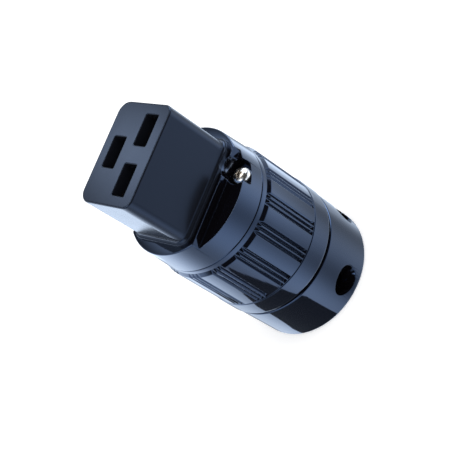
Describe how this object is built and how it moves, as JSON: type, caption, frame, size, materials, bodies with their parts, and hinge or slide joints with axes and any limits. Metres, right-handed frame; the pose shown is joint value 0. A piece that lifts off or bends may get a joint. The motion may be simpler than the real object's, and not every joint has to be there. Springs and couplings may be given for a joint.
{
  "type": "c19 power connector",
  "caption": "Straight rewireable C19 cord connector: rectangular nose with blade slots, round flange, fluted barrel, smooth band and rear sleeve with cord clamp.",
  "frame": {"origin": "centre of the rear sleeve's end face, on which the connector stands", "axes": "+Z along the connector's axis from the cord end to the nose, +X along the nose's long side, +Y to the row with the line and neutral slots"},
  "size_m": [0.0374, 0.0374, 0.0733],
  "materials": {
    "moulded_shell": "glossy injection-moulded polyamide, blue-black",
    "insulator": "moulded thermoset insulator, ivory",
    "clamp_plastic": "moulded polyamide, black",
    "nickel_screw": "nickel-plated steel",
    "zinc_steel": "zinc-plated steel",
    "contact_alloy": "bright copper alloy sheet",
    "terminal_brass": "machined brass"
  },
  "bodies": {
    "root": {"nose_body": "moulded_shell", "front_flange": "moulded_shell", "barrel": "moulded_shell", "rear_sleeve": "moulded_shell", "contact_retainer": "insulator", "clamp_jaw_fixed": "clamp_plastic", "clamp_jaw_moving": "clamp_plastic", "line_contact": "contact_alloy", "line_terminal": "terminal_brass", "line_terminal_screw": "zinc_steel", "neutral_contact": "contact_alloy", "neutral_terminal": "terminal_brass", "neutral_terminal_screw": "zinc_steel", "earth_contact": "contact_alloy", "earth_terminal": "terminal_brass", "earth_terminal_screw": "zinc_steel", "body_screw_right": "nickel_screw", "barrel_insert_right": "terminal_brass", "retainer_screw_right": "zinc_steel", "clamp_screw_right": "zinc_steel", "clamp_nut_right": "zinc_steel", "body_screw_left": "nickel_screw", "barrel_insert_left": "terminal_brass", "retainer_screw_left": "zinc_steel", "clamp_screw_left": "zinc_steel", "clamp_nut_left": "zinc_steel"}
  },
  "joints": []
}
